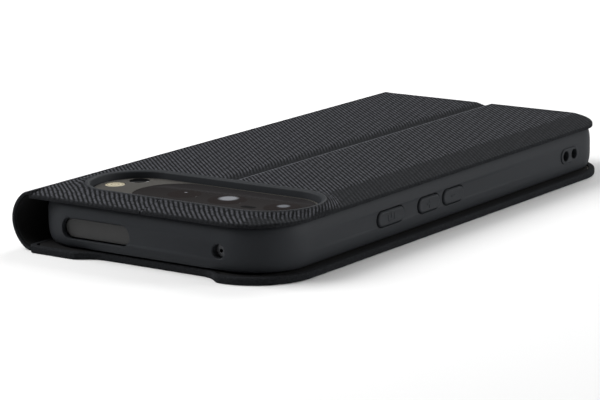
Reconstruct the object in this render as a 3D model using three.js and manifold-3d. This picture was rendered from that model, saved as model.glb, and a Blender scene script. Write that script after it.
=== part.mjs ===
// A smartphone in a closed folio case, lying on the front cover with its back up.
// Units are millimetres and +Z is up. The camera end faces -Y, the spine is on -X and
// the side buttons are on +X. The origin is the centre of the outline, on the table.

import * as THREE from 'three';
import { mergeVertices } from 'three/addons/utils/BufferGeometryUtils.js';
import Module from 'manifold-3d';

const wasm = await Module();
wasm.setup();

// ---------------------------------------------------------------- driving dimensions

const ASSEMBLY_X = 1.05; // the spine reaches further out than the cover's free edge

const COVER = { left: -35.55, right: 39.3, halfLength: 80, top: 1.8, corner: 15.75, skin: 0.5 };
const COVER_NOTCH = { left: -19.6, right: 23.4, slant: 3.4, depth: 3.2 };

const TRAY = { width: 74.8, near: -77.8, far: 78.7, corner: 13.8, bottom: 2.2, top: 13.1, back: 11.5 };
const TRAY_EDGE = { size: 1.2, height: 4.2 };
const TRAY_LIP = 1.4; // how far the rim reaches over the front glass

const PHONE = { width: 72, length: 152.8, corner: 12, bottom: 2.9, top: 11.4, wall: 2.3 };
const FRAME = { bottom: 3.5, top: 10.8 };

const VISOR = { x: 2, y: -57, width: 67, height: 26.4, lip: 1.3, rim: 15.6, face: 13.8 };
const LENSES = [
  { name: 'ultrawide_camera', x: -4, y: -57, diameter: 8.4, base: 11.5 },
  { name: 'main_camera', x: 9, y: -57, diameter: 9.6, base: 12.5 },
  { name: 'telephoto_camera', x: 25.4, y: -57, diameter: 9.6, base: 12.5 },
];

const PANEL = { right: 37.9, near: -78.2, far: 79.2, corner: 14.5, bottom: 13.2, top: 14.8 };
const FAR_CORNER = 13; // the far corner of the tray and of the back is tighter
const PANEL_LEFT = -0.45;
const LEAF = { left: -35.55, right: -1.15 };
const ISLAND = { margin: 2.6, top: 15.3 };

const SPINE = { x: -35.75, depth: 5.65, halfHeight: 7.4, skin: 0.8, lining: 0.35, inner: 0.05 };

const SIDE_Z = 7.6; // height of the buttons' centre line
const POWER = { near: -34.6, far: -23 };
const VOLUME_UP = { near: -16.6, far: -7 };
const VOLUME_DOWN = { near: -5.3, far: 4.3 };
const PAD = { height: 3.8, inner: 36.7, outer: 37.85, gap: 0.35 };
const EYELETS = { near: 55.8, far: 60.1, z: 7.6, diameter: 2.7 };

const SIM = { x: -16.2, z: 6.6, head: 14.4, plate: 12.3, inner: 57.5 };
const USB = { x: 0, z: 6.9, width: 9, height: 3.3, depth: 7.5 };
const SPEAKER = { x: 18, z: 6.9, width: 11, height: 1.8 };
const MIC_X = 21.8;
const LOWER_MIC_X = 8.7;
const MIC_Z = 6.9;
const ANTENNA = { x: -15.35, z: 6.95, width: 20.9, height: 5.3 };

// ------------------------------------------------------------------------- materials

function finish(color, roughness, metalness) {
  return new THREE.MeshStandardMaterial({ color, roughness, metalness });
}

const LOOK = {
  twill: finish(0x2c2d30, 0.85, 0),
  suede: finish(0x1b1b1d, 0.95, 0),
  board: finish(0x6a6358, 0.9, 0),
  tpu: finish(0x35373a, 0.6, 0),
  frame: finish(0x46474a, 0.35, 0.9),
  visor: finish(0x5a5654, 0.4, 0.8),
  glass: finish(0x0b0b0d, 0.08, 0),
  display: finish(0x08080a, 0.2, 0),
  lens: finish(0x15161a, 0.15, 0),
  cream: finish(0xd9d2c0, 0.3, 0),
  antenna: finish(0x57585b, 0.55, 0),
  alloy: finish(0x9c9ea2, 0.4, 0.9),
  cell: finish(0x1d1e20, 0.6, 0),
  pcb: finish(0x123322, 0.6, 0),
  copper: finish(0x9a5f36, 0.4, 0.9),
  steel: finish(0x8d8f93, 0.35, 1),
  plastic: finish(0x202124, 0.6, 0),
  magnet: finish(0x7d7f84, 0.35, 1),
};

// --------------------------------------------------------------------- shape helpers

function roundedRect(left, right, near, far, radius, farRadius = radius) {
  const shape = new THREE.Shape();
  shape.absarc(right - radius, near + radius, radius, -Math.PI / 2, 0);
  shape.absarc(right - farRadius, far - farRadius, farRadius, 0, Math.PI / 2);
  shape.absarc(left + farRadius, far - farRadius, farRadius, Math.PI / 2, Math.PI);
  shape.absarc(left + radius, near + radius, radius, Math.PI, 1.5 * Math.PI);
  shape.closePath();
  return shape;
}

function centredRect(width, length, radius) {
  return roundedRect(-width / 2, width / 2, -length / 2, length / 2, radius);
}

// A plate's outline with two square corners on the left and two round ones on the right.
function bookRect(left, right, near, far, radius, farRadius) {
  const shape = new THREE.Shape();
  shape.moveTo(left, near);
  shape.lineTo(right - radius, near);
  shape.absarc(right - radius, near + radius, radius, -Math.PI / 2, 0);
  shape.absarc(right - farRadius, far - farRadius, farRadius, 0, Math.PI / 2);
  shape.lineTo(left, far);
  shape.closePath();
  return shape;
}

// A long hole or plate with round ends, wider than it is high.
function pill(x, y, width, height) {
  const reach = (width - height) / 2;
  const shape = new THREE.Shape();
  shape.absarc(x + reach, y, height / 2, -Math.PI / 2, Math.PI / 2);
  shape.absarc(x - reach, y, height / 2, Math.PI / 2, 1.5 * Math.PI);
  shape.closePath();
  return shape;
}

function disc(x, y, diameter) {
  return pill(x, y, diameter, diameter);
}

function polygon(points) {
  return new THREE.Shape(points.map(([x, y]) => new THREE.Vector2(x, y)));
}

// The outline as straight steps, without the doubled points where its curves meet.
function facets(shape, segments) {
  const points = shape.getPoints(segments);
  const apart = points.filter((point, i) => (
    point.distanceTo(points[(i + points.length - 1) % points.length]) > 1e-3
  ));
  return new THREE.Shape(apart);
}

// ------------------------------------------------------------------- solid modelling

function solid(geometry) {
  geometry.deleteAttribute('normal');
  geometry.deleteAttribute('uv');
  const merged = mergeVertices(geometry, 1e-4);
  return new wasm.Manifold(new wasm.Mesh({
    numProp: 3,
    vertProperties: new Float32Array(merged.attributes.position.array),
    triVerts: new Uint32Array(merged.index.array),
  }));
}

function cut(body, ...tools) {
  return tools.reduce((rest, tool) => rest.subtract(tool), body);
}

function join(body, ...others) {
  return others.reduce((sum, other) => sum.add(other), body);
}

function common(body, ...others) {
  return others.reduce((sum, other) => sum.intersect(other), body);
}

// A plate between two heights. Its edges can be rounded by size sideways, height upwards.
function slab(shape, bottom, top, { size = 0, height = size, rounds = 1, segments = 3 } = {}) {
  const geometry = new THREE.ExtrudeGeometry(facets(shape, segments), {
    depth: top - bottom - 2 * height,
    bevelEnabled: size > 0,
    bevelSize: size,
    bevelOffset: -size,
    bevelThickness: height,
    bevelSegments: rounds,
  });
  geometry.translate(0, 0, bottom + height);
  return solid(geometry);
}

// The shape lies in the XZ plane and is swept along Y.
function alongY(shape, near, far, { size = 0, segments = 3 } = {}) {
  const geometry = new THREE.ExtrudeGeometry(facets(shape, segments), {
    depth: far - near - 2 * size,
    bevelEnabled: size > 0,
    bevelSize: size,
    bevelOffset: -size,
    bevelThickness: size,
    bevelSegments: 1,
  });
  geometry.rotateX(Math.PI / 2);
  geometry.translate(0, far - size, 0);
  return solid(geometry);
}

// The shape lies in the YZ plane and is swept along X.
function alongX(shape, left, right, { size = 0, segments = 3 } = {}) {
  const geometry = new THREE.ExtrudeGeometry(facets(shape, segments), {
    depth: right - left - 2 * size,
    bevelEnabled: size > 0,
    bevelSize: size,
    bevelOffset: -size,
    bevelThickness: size,
    bevelSegments: 1,
  });
  const turn = new THREE.Matrix4().makeBasis(
    new THREE.Vector3(0, 1, 0),
    new THREE.Vector3(0, 0, 1),
    new THREE.Vector3(1, 0, 0),
  );
  geometry.applyMatrix4(turn);
  geometry.translate(left + size, 0, 0);
  return solid(geometry);
}

function box(left, right, near, far, bottom, top) {
  const geometry = new THREE.BoxGeometry(right - left, far - near, top - bottom);
  geometry.translate((left + right) / 2, (near + far) / 2, (bottom + top) / 2);
  return solid(geometry);
}

function column(x, y, diameter, bottom, top, segments = 16) {
  const geometry = new THREE.CylinderGeometry(diameter / 2, diameter / 2, top - bottom, segments);
  geometry.rotateX(Math.PI / 2);
  geometry.translate(x, y, (bottom + top) / 2);
  return solid(geometry);
}

const assembly = new THREE.Group();
assembly.position.x = ASSEMBLY_X;

function piece(name, body, material) {
  const { vertProperties, triVerts } = body.getMesh();
  const geometry = new THREE.BufferGeometry();
  geometry.setAttribute('position', new THREE.BufferAttribute(vertProperties, 3));
  geometry.setIndex(new THREE.BufferAttribute(triVerts, 1));
  geometry.computeVertexNormals();
  const mesh = new THREE.Mesh(geometry, material);
  mesh.name = name;
  assembly.add(mesh);
}

// ---------------------------------------------------------------------- folio covers

function coverOutline() {
  const { left, right, halfLength: half, corner } = COVER;
  const { left: a, right: b, slant, depth } = COVER_NOTCH;
  const shape = new THREE.Shape();
  shape.moveTo(left, PANEL.near);
  shape.lineTo(left + 1.6, -half);
  shape.lineTo(a, -half);
  shape.bezierCurveTo(a + 1.6, -half, a + slant - 1.6, -half + depth, a + slant, -half + depth);
  shape.lineTo(b - slant, -half + depth);
  shape.bezierCurveTo(b - slant + 1.6, -half + depth, b - 1.6, -half, b, -half);
  shape.absarc(right - corner, -half + corner, corner, -Math.PI / 2, 0);
  shape.absarc(right - corner, half - corner, corner, 0, Math.PI / 2);
  shape.lineTo(left + 0.8, half);
  shape.lineTo(left, PANEL.far);
  shape.closePath();
  return shape;
}

function addFrontCover() {
  const pocket = roundedRect(-34.9, 37.7, -75.2, 78.4, 13.5);
  const filling = roundedRect(-34.8, 37.6, -75.1, 78.3, 13.4);
  const skin = slab(coverOutline(), 0, COVER.top, { size: 0.4, segments: 4 });
  piece('front_cover_outer', cut(skin, slab(pocket, COVER.skin, COVER.top + 1, { segments: 4 })), LOOK.twill);
  const magnets = [-38, 38].map((y) => box(31, 35, y - 9, y + 9, 0.55, 1.25));
  const seats = [-38, 38].map((y) => box(30.9, 35.1, y - 9.1, y + 9.1, 0, 2));
  piece('front_cover_board', cut(slab(filling, 0.55, 1.25, { segments: 4 }), ...seats), LOOK.board);
  piece('front_cover_lining', slab(filling, 1.3, COVER.top, { segments: 4 }), LOOK.suede);
  piece('cover_magnet_near', magnets[0], LOOK.magnet);
  piece('cover_magnet_far', magnets[1], LOOK.magnet);
}

// Half of an elliptical tube, open towards the phone.
function spineShell(outerInset, innerInset) {
  const shape = new THREE.Shape();
  const { x, depth, halfHeight: half } = SPINE;
  const steps = 18;
  for (const [inset, from, to] of [[outerInset, 0, 1], [innerInset, 1, 0]]) {
    for (let i = 0; i <= steps; i += 1) {
      const angle = Math.PI * (from + ((to - from) * i) / steps);
      const px = x - (depth - 1 - inset) * Math.sin(angle) - Math.sin(angle) ** 3;
      const pz = half + (half - inset) * Math.cos(angle);
      if (from === 0 && i === 0) shape.moveTo(px, pz);
      else shape.lineTo(px, pz);
    }
  }
  shape.closePath();
  return shape;
}

function addSpine() {
  const { skin, lining, inner } = SPINE;
  const { near, far } = PANEL;
  piece('spine_outer', alongY(spineShell(0, skin), near, far), LOOK.twill);
  const liner = spineShell(skin + inner, skin + inner + lining);
  piece('spine_lining', alongY(liner, near + 0.6, far - 0.6), LOOK.suede);
}

// The ends that both halves of the back share, sloping at the cameras and blunt at the other
// end, as a solid to intersect with.
function endShapes() {
  const { near, far, bottom, top } = PANEL;
  return alongX(polygon([
    [near, bottom],
    [near, bottom + 0.55],
    [near + 0.3, bottom + 0.85],
    [near + 0.9, bottom + 1],
    [near + 4.6, top - 0.12],
    [near + 5.8, top],
    [near + 6.4, top + 2],
    [far - 1.2, top + 2],
    [far - 0.7, top],
    [far - 0.2, top - 0.2],
    [far, top - 0.6],
    [far, bottom],
  ]), -60, 60);
}

function visorPill(margin, bottom, top, edge = {}) {
  const shape = pill(VISOR.x, VISOR.y, VISOR.width + 2 * margin, VISOR.height + 2 * margin);
  return slab(shape, bottom, top, { segments: 6, ...edge });
}

function visorIsland() {
  return visorPill(ISLAND.margin, PANEL.top - 0.9, ISLAND.top, { size: 1.2, height: 0.45 });
}

function addFixedPanel() {
  const { right, near, far, corner, bottom, top } = PANEL;
  const profile = polygon([
    [PANEL_LEFT, bottom],
    [PANEL_LEFT, top - 0.45],
    [PANEL_LEFT + 0.15, top - 0.15],
    [PANEL_LEFT + 0.55, top],
    [27, top],
    [28.2, top - 0.1],
    [right - 0.7, bottom + 1],
    [right - 0.2, bottom + 0.8],
    [right, bottom + 0.5],
    [right, bottom + 0.25],
    [right - 0.2, bottom],
  ]);
  const shape = bookRect(PANEL_LEFT, right, near, far, corner, FAR_CORNER);
  const outline = slab(shape, bottom, top + 2, { segments: 4 });
  const island = common(visorIsland(), outline, box(PANEL_LEFT + 0.4, right - 0.5, -90, 0, 0, 20));
  const plate = common(alongY(profile, near, far), outline, endShapes());
  const pocket = box(0.8, 26.4, -41.6, 72.4, bottom - 1, bottom + 1.1);
  const skin = cut(join(plate, island), visorPill(0.4, 10, 20), pocket);
  piece('back_panel_outer', skin, LOOK.twill);
  piece('back_panel_board', box(0.85, 26.35, -41.55, 72.35, 13.55, 14.25), LOOK.board);
  piece('back_panel_lining', box(0.85, 26.35, -41.55, 72.35, 13.2, 13.5), LOOK.suede);
}

function addStandLeaf() {
  const { near, far, bottom, top } = PANEL;
  const { left, right } = LEAF;
  const profile = polygon([
    [left, bottom],
    [left, top],
    [-5.2, top],
    [-3.6, top - 0.2],
    [right - 0.3, bottom + 0.85],
    [right, bottom + 0.6],
    [right, bottom],
  ]);
  const plate = common(alongY(profile, near, far), endShapes());
  const island = common(visorIsland(), box(left + 0.5, -4.6, -90, 0, 0, 20));
  const opening = visorPill(0.4, 10, 20);
  const rim = visorPill(1.6, bottom - 1, bottom + 0.35);
  const liningArea = box(left + 0.4, right - 0.4, near + 1, far - 1, bottom - 1, bottom + 0.35);
  const boardArea = box(-34.4, -6, -41.6, 72.4, bottom, bottom + 1.1);
  const skin = cut(join(plate, island), opening, cut(liningArea, rim), boardArea);
  piece('stand_leaf_outer', skin, LOOK.twill);
  piece('stand_leaf_board', box(-34.35, -6.05, -41.55, 72.35, 13.55, 14.25), LOOK.board);
  const lining = box(left + 0.45, right - 0.45, near + 1.05, far - 1.05, bottom, bottom + 0.3);
  piece('stand_leaf_lining', cut(lining, visorPill(1.65, 10, 20)), LOOK.suede);
}

// ------------------------------------------------------------------- soft phone tray

function sidePill({ near, far }, height, margin) {
  return pill((near + far) / 2, SIDE_Z, far - near + 2 * margin, height + 2 * margin);
}

function addTray() {
  const { width, near, far, corner, bottom, top, back } = TRAY;
  const shape = roundedRect(-width / 2, width / 2, near, far, corner, FAR_CORNER);
  const shell = slab(shape, bottom, top, { ...TRAY_EDGE, rounds: 3, segments: 4 });
  const nest = centredRect(PHONE.width + 0.2, PHONE.length + 0.2, PHONE.corner + 0.1);
  const windowWidth = PHONE.width - 2 * TRAY_LIP;
  const window = centredRect(windowWidth, PHONE.length - 2 * TRAY_LIP, PHONE.corner - TRAY_LIP);
  const lip = visorPill(0, back, VISOR.rim, { size: 0.4, segments: 4 });
  const padHoles = [POWER, VOLUME_UP, VOLUME_DOWN].map((span) => (
    alongX(sidePill(span, PAD.height, PAD.gap), 34, 40)
  ));
  const bridge = box(36, 36.9, VOLUME_UP.far - 2, VOLUME_DOWN.near + 2, SIDE_Z - 1.9, SIDE_Z + 1.9);
  const waist = box(36, 40, VOLUME_UP.far - 1.1, VOLUME_DOWN.near + 1.1, SIDE_Z - 1, SIDE_Z + 1);
  const eyeletSpan = { near: EYELETS.near - 2.4, far: EYELETS.far + 2.4 };
  const eyeletBoss = alongX(sidePill(eyeletSpan, 4.2, 0), width / 2 - 1, width / 2 + 0.3);
  const eyelets = [EYELETS.near, EYELETS.far].map((y) => (
    alongX(disc(y, EYELETS.z, EYELETS.diameter), 34, 40)
  ));
  const nearWall = [near - 1, near + 3];
  const farWall = [far - 4, far + 1];
  const ends = [
    alongY(pill(ANTENNA.x, ANTENNA.z, ANTENNA.width, ANTENNA.height), ...nearWall),
    alongY(disc(MIC_X, MIC_Z, 3.4), ...nearWall),
    alongY(pill(USB.x, USB.z, 13, 6.6), ...farWall),
    alongY(pill(SPEAKER.x, SPEAKER.z, 14, 4), ...farWall),
    alongY(pill(SIM.x, SIM.z, 16.4, 4.4), ...farWall),
    alongY(disc(LOWER_MIC_X, MIC_Z, 2.6), ...farWall),
  ];
  const body = cut(
    join(shell, lip, eyeletBoss),
    slab(nest, PHONE.bottom, back, { segments: 4 }),
    slab(window, bottom - 1, PHONE.bottom + 1, { segments: 4 }),
    visorPill(-VISOR.lip, 10, 20),
    ...padHoles,
    bridge,
    waist,
    ...eyelets,
    ...ends,
  );
  piece('tray_shell', body, LOOK.tpu);
}

// A soft pad over a key: a proud outer face and a thin rib that reaches the key.
function pad(span) {
  const face = alongX(sidePill(span, PAD.height, 0), PAD.inner, PAD.outer, { size: 0.3 });
  const rib = alongX(sidePill(span, PAD.height, -1.2), 36.35, PAD.inner + 0.4);
  return join(face, rib);
}

function addButtons() {
  piece('power_pad', pad(POWER), LOOK.tpu);
  piece('volume_up_pad', pad(VOLUME_UP), LOOK.tpu);
  piece('volume_down_pad', pad(VOLUME_DOWN), LOOK.tpu);
  const rocker = { near: VOLUME_UP.near, far: VOLUME_DOWN.far };
  piece('power_key', alongX(sidePill(POWER, 3.8, -0.7), 34, 36.3, { size: 0.25 }), LOOK.frame);
  piece('volume_key', alongX(sidePill(rocker, 3.8, -0.7), 34, 36.3, { size: 0.25 }), LOOK.frame);
  piece('button_flex', box(32.6, 32.9, POWER.near, VOLUME_DOWN.far, 6.2, 9), LOOK.copper);
}

// ---------------------------------------------------------------------- phone shells

function addPhoneShells() {
  const { width, length, corner, bottom, top, wall } = PHONE;
  const half = length / 2;
  const outer = slab(centredRect(width, length, corner), FRAME.bottom, FRAME.top, {
    size: 0.9,
    height: 1.1,
    segments: 4,
  });
  const inside = centredRect(width - 2 * wall, length - 2 * wall, corner - wall);
  const rocker = { near: VOLUME_UP.near, far: VOLUME_DOWN.far };
  const nearWall = [-half - 1, -half + 3];
  const farWall = [half - 3, half + 1];
  const ring = cut(
    outer,
    slab(inside, 0, 20, { segments: 4 }),
    alongX(sidePill(POWER, 3.8, -0.5), 30, 40),
    alongX(sidePill(rocker, 3.8, -0.5), 30, 40),
    alongY(pill(ANTENNA.x, ANTENNA.z, 20.3, 4.7), -half - 1, -half + 0.9),
    alongY(disc(MIC_X, MIC_Z, 1), ...nearWall),
    alongY(pill(USB.x, USB.z, USB.width + 0.2, USB.height + 0.2), ...farWall),
    alongY(pill(SPEAKER.x, SPEAKER.z, SPEAKER.width, SPEAKER.height), ...farWall),
    alongY(pill(SIM.x, SIM.z, SIM.head + 0.3, 2.6), half - 1.7, half + 1),
    box(SIM.x - 6.4, SIM.x + 6.4, half - 3, half, SIM.z - 0.6, SIM.z + 0.6),
    alongY(disc(LOWER_MIC_X, MIC_Z, 1), ...farWall),
  );
  piece('phone_frame', ring, LOOK.frame);
  const antenna = alongY(pill(ANTENNA.x, ANTENNA.z, 20.1, 4.5), -half, -half + 0.8);
  piece('antenna_window', antenna, LOOK.antenna);

  const glass = centredRect(width - 0.6, length - 0.6, corner - 0.3);
  const edge = { size: 0.25, segments: 4 };
  piece('cover_glass', slab(glass, bottom, FRAME.bottom, edge), LOOK.glass);
  const back = slab(glass, FRAME.top, top, edge);
  piece('back_glass', cut(back, visorPill(-VISOR.lip - 0.2, 0, 20)), LOOK.glass);

  const panel = centredRect(width - 2 * wall - 0.3, length - 2 * wall - 0.3, corner - wall - 0.1);
  const eye = column(0, -70, 4.4, 0, 20, 16);
  piece('display_panel', cut(slab(panel, 3.55, 4.55, { segments: 4 }), eye), LOOK.display);
  const touch = box(-6.1, 6.1, 33.9, 46.1, 0, 20);
  piece('midplate', cut(slab(panel, 4.6, 5.1, { segments: 4 }), eye, touch), LOOK.alloy);
  piece('fingerprint_sensor', box(-6, 6, 34, 46, 4.6, 5.05), LOOK.lens);
  piece('front_camera', column(0, -70, 4.2, 3.6, 7.4, 16), LOOK.lens);
}

// ------------------------------------------------------------------ camera and visor

function addVisor() {
  const { x, y, lip, face } = VISOR;
  const glassPocket = pill(x + 5.8, y, 50.6, 21.4);
  const glass = pill(x + 5.8, y, 50.4, 21.2);
  const bores = LENSES.map((lens) => column(lens.x, lens.y, lens.diameter + 0.6, 0, 20, 24));
  const bar = cut(
    visorPill(-lip - 0.3, 10.85, face, { size: 0.5 }),
    slab(glassPocket, face - 0.6, 20, { segments: 5 }),
    column(-25.8, y, 5.2, face - 0.9, 20),
    column(-22.4, y + 6.4, 4.4, face - 0.9, 20),
    slab(pill(16, y, 4.2, 2), 0, 20),
    ...bores,
  );
  piece('camera_bar', bar, LOOK.visor);
  piece('camera_glass', slab(glass, face - 0.55, face - 0.05, { segments: 5 }), LOOK.glass);
  piece('flash_lens', column(-25.8, y, 5, face - 0.85, face - 0.05), LOOK.cream);
  piece('temperature_sensor', column(-22.4, y + 6.4, 4.2, face - 0.85, face - 0.05), LOOK.lens);
  piece('autofocus_sensor', slab(pill(16, y, 3.8, 1.6), 11.4, face - 0.65), LOOK.lens);
  for (const lens of LENSES) {
    const half = lens.base / 2;
    const barrel = column(lens.x, lens.y, lens.diameter, 8, face - 0.65, 24);
    const base = box(lens.x - half, lens.x + half, lens.y - half, lens.y + half, 6.2, 9.6);
    piece(lens.name, join(barrel, base), LOOK.lens);
  }
}

// ----------------------------------------------------------------- phone electronics

function addScrew(name, x, y) {
  const profile = [[0, 0], [0.55, 0], [0.55, 0.9], [1.1, 0.9], [1.1, 1.3], [0, 1.3]];
  const points = profile.map(([radius, height]) => new THREE.Vector2(radius, height));
  const geometry = new THREE.LatheGeometry(points, 12);
  geometry.rotateX(Math.PI / 2);
  geometry.translate(x, y, 5.15);
  piece(name, solid(geometry), LOOK.steel);
}

function addElectronics() {
  piece('battery', slab(roundedRect(-30.5, 19.5, -34, 46, 2), 5.2, 9.8), LOOK.cell);
  const coil = cut(column(0, 6, 43, 10.05, 10.45, 32), column(0, 6, 22, 0, 20, 24));
  piece('charging_coil', coil, LOOK.copper);
  const screws = [['board_screw_left', -28, -68], ['board_screw_right', 31, -47]];
  const screwHoles = screws.map(([, x, y]) => column(x, y, 1.3, 0, 20, 12));
  const cameraBay = box(-11, 32.3, -64, -50, 0, 20);
  const frontCameraHole = column(0, -70, 4.6, 0, 20, 16);
  const upper = slab(roundedRect(-32.6, 32.6, -72, -36.5, 8), 5.2, 6);
  const board = join(upper, box(21, 31, -44, 18, 5.2, 6));
  piece('main_board', cut(board, cameraBay, frontCameraHole, ...screwHoles), LOOK.pcb);
  screws.forEach(([name, x, y]) => addScrew(name, x, y));
  piece('board_shield', box(-25, 19, -48.5, -38, 6.05, 7.9), LOOK.steel);
  piece('earpiece', box(5, 19, -72.5, -67.6, 6.1, 8.8), LOOK.plastic);
  piece('top_microphone', box(MIC_X - 2, MIC_X + 2, -73.9, -71, 6.05, 7.8), LOOK.steel);

  piece('sub_board', box(-8.2, 9.4, 50, 67.8, 5.2, 6), LOOK.pcb);
  piece('battery_flex', box(-8, 4, 46.2, 49.8, 5.2, 5.4), LOOK.copper);
  piece('loudspeaker', box(10, 26, 52, 73.6, 5.2, 9.8), LOOK.plastic);
  piece('vibration_motor', box(-32, -22.4, 47, 55.4, 5.2, 8.6), LOOK.steel);
  const far = PHONE.length / 2;
  const { x, z, width, height, depth } = USB;
  const port = cut(
    alongY(pill(x, z, width, height), far - depth - 0.4, far - 0.3),
    alongY(pill(x, z, width - 0.7, height - 0.7), far - depth + 0.4, far + 1),
  );
  const tongue = box(x - 3.3, x + 3.3, far - depth, far - 1.2, z - 0.35, z + 0.35);
  piece('usb_c_port', join(port, tongue), LOOK.steel);

  const head = alongY(pill(SIM.x, SIM.z, SIM.head, 2.3), far - 1.6, far - 0.05);
  const half = SIM.plate / 2;
  const plate = box(SIM.x - half, SIM.x + half, SIM.inner, far - 1.5, SIM.z - 0.4, SIM.z + 0.4);
  const card = box(SIM.x - 4.4, SIM.x + 4.4, SIM.inner + 1.2, far - 6, SIM.z - 0.1, SIM.z + 1);
  piece('sim_tray', cut(join(head, plate), card), LOOK.frame);
  const cage = cut(
    box(SIM.x - 7.6, SIM.x + 7.6, SIM.inner - 1.4, 73.2, 5.2, 8),
    box(SIM.x - 6.5, SIM.x + 6.5, SIM.inner - 0.4, 80, SIM.z - 0.6, SIM.z + 0.6),
  );
  piece('sim_reader', cage, LOOK.steel);
}

// -------------------------------------------------------------------------- assembly

addFrontCover();
addSpine();
addFixedPanel();
addStandLeaf();
addTray();
addButtons();
addPhoneShells();
addVisor();
addElectronics();

const group = new THREE.Group();
group.add(assembly);

export default group;
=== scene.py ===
"""A smartphone in a closed textile folio case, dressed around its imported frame.

Sizes in the classes are millimetres in the case's own layout, where x is 0 on the middle of
the soft tray. The pieces are made in that layout and then brought to the frame in metres.
"""

import logging
import math
from collections.abc import Callable, Iterable, Sequence
from dataclasses import dataclass
from enum import Enum

import bmesh
import bpy
from bmesh.types import BMesh, BMFace, BMVert
from mathutils import Matrix, Vector
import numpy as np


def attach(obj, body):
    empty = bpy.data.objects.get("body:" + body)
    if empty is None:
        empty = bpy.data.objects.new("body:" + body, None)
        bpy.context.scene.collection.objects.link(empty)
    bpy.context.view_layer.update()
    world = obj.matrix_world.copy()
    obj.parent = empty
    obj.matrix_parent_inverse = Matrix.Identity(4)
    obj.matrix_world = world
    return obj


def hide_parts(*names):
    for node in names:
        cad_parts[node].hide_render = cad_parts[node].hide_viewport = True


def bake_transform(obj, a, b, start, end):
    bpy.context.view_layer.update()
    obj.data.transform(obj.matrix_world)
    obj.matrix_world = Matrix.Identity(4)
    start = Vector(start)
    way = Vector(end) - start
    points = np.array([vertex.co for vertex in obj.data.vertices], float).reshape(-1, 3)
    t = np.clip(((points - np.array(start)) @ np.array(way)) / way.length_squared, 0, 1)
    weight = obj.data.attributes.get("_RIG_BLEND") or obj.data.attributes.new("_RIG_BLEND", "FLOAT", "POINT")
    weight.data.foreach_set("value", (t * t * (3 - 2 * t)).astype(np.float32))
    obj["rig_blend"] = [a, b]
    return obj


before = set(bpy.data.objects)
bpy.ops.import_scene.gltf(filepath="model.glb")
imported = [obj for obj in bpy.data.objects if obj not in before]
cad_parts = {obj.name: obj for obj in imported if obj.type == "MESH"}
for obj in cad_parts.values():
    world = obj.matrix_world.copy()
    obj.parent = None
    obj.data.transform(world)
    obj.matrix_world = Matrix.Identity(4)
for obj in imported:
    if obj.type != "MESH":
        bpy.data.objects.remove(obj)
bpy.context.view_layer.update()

LOG = logging.getLogger("folio")

MM = 0.001
ASSEMBLY_X = 1.05
ROOT = "phone_and_tray"
CLOTH_UV = "cloth"
# Attribute name: above 0 the ribs give way to flattened colour, also used as painted shade; below 0 a
# painted highlight.
PLAIN_SHADE_HIGHLIGHT = "plain"
SHARP_ANGLE = math.radians(38)
CUT_THROUGH = 20.0
FLASH_X = -25.8
SENSOR_PLACE = (-23.4, 6.6)
STRAP_HOLES = (55.8, 60.1)
STRAP_HOLE_Z = 7.6


# ------------------------------------------------------------------------------ materials


def linear(colour: str) -> tuple[float, float, float, float]:
    """Turns an sRGB hex colour into linear light.

    Args:
        colour: Six hex digits with a leading hash.

    Returns:
        Red, green, blue and an alpha of 1.
    """
    channels = [int(colour[i : i + 2], 16) / 255 for i in (1, 3, 5)]
    light = [c / 12.92 if c <= 0.04045 else ((c + 0.055) / 1.055) ** 2.4 for c in channels]
    return (light[0], light[1], light[2], 1.0)


def add_node(
    tree: bpy.types.NodeTree,
    kind: str,
    settings: dict[str, object] | None = None,
    inputs: dict[str | int, object] | None = None,
) -> bpy.types.Node:
    """Adds one node with its settings, values and links.

    Args:
        tree: The node tree that takes it.
        kind: The node's type name.
        settings: Properties of the node.
        inputs: Values or output sockets, by input name or number.

    Returns:
        The new node.
    """
    node = tree.nodes.new(kind)
    for key, value in (settings or {}).items():
        setattr(node, key, value)
    for key, value in (inputs or {}).items():
        if isinstance(value, bpy.types.NodeSocket):
            tree.links.new(value, node.inputs[key])
        else:
            node.inputs[key].default_value = value
    return node


def calculate(tree: bpy.types.NodeTree, operation: str, *values: object) -> bpy.types.NodeSocket:
    """Adds a Math node and returns its result."""
    inputs = dict(enumerate(values))
    return add_node(tree, "ShaderNodeMath", {"operation": operation}, inputs).outputs[0]


def new_material(name: str) -> tuple[bpy.types.Material, bpy.types.NodeTree, bpy.types.Node]:
    """Makes an empty node material and returns it, its tree and its main shader."""
    material = bpy.data.materials.new(name)
    material.use_nodes = True
    tree = material.node_tree
    return material, tree, tree.nodes["Principled BSDF"]


class Pattern(Enum):
    """What a finish's fine relief looks like."""

    GRAIN = "grain"
    BRUSHED = "brushed"
    RINGS = "rings"
    TRACES = "traces"
    # LENS draws a painted highlight: a disc of the accent colour standing for a reflection in a lens.
    LENS = "lens"


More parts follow.
